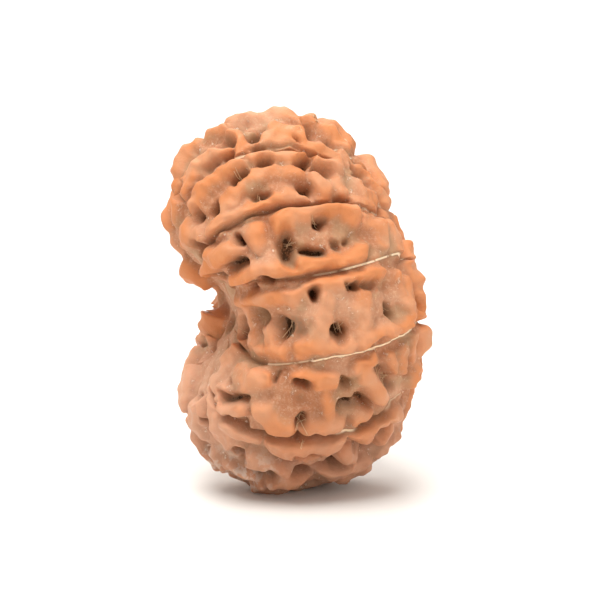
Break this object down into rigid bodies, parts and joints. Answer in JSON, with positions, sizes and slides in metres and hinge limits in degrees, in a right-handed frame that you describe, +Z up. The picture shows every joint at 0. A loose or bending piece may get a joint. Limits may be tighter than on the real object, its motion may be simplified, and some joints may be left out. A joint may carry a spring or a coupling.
{
  "type": "rudraksha bead",
  "caption": "Large rudraksha seed bead, kidney-shaped, ridged and deeply pitted between the seams that divide it into lobes, drilled from pole to pole.",
  "frame": {"origin": "middle of the bounding box at the ground the bead stands on", "axes": "+Z up along the long side of the kidney, X roughly along the stringing axis with the notched pole at -X, -Y towards the viewer of the picture"},
  "size_m": [0.0184, 0.0194, 0.0279],
  "materials": {
    "stone": "satin, waxy terracotta brown"
  },
  "bodies": {
    "root": {"bead": "stone"}
  },
  "joints": []
}
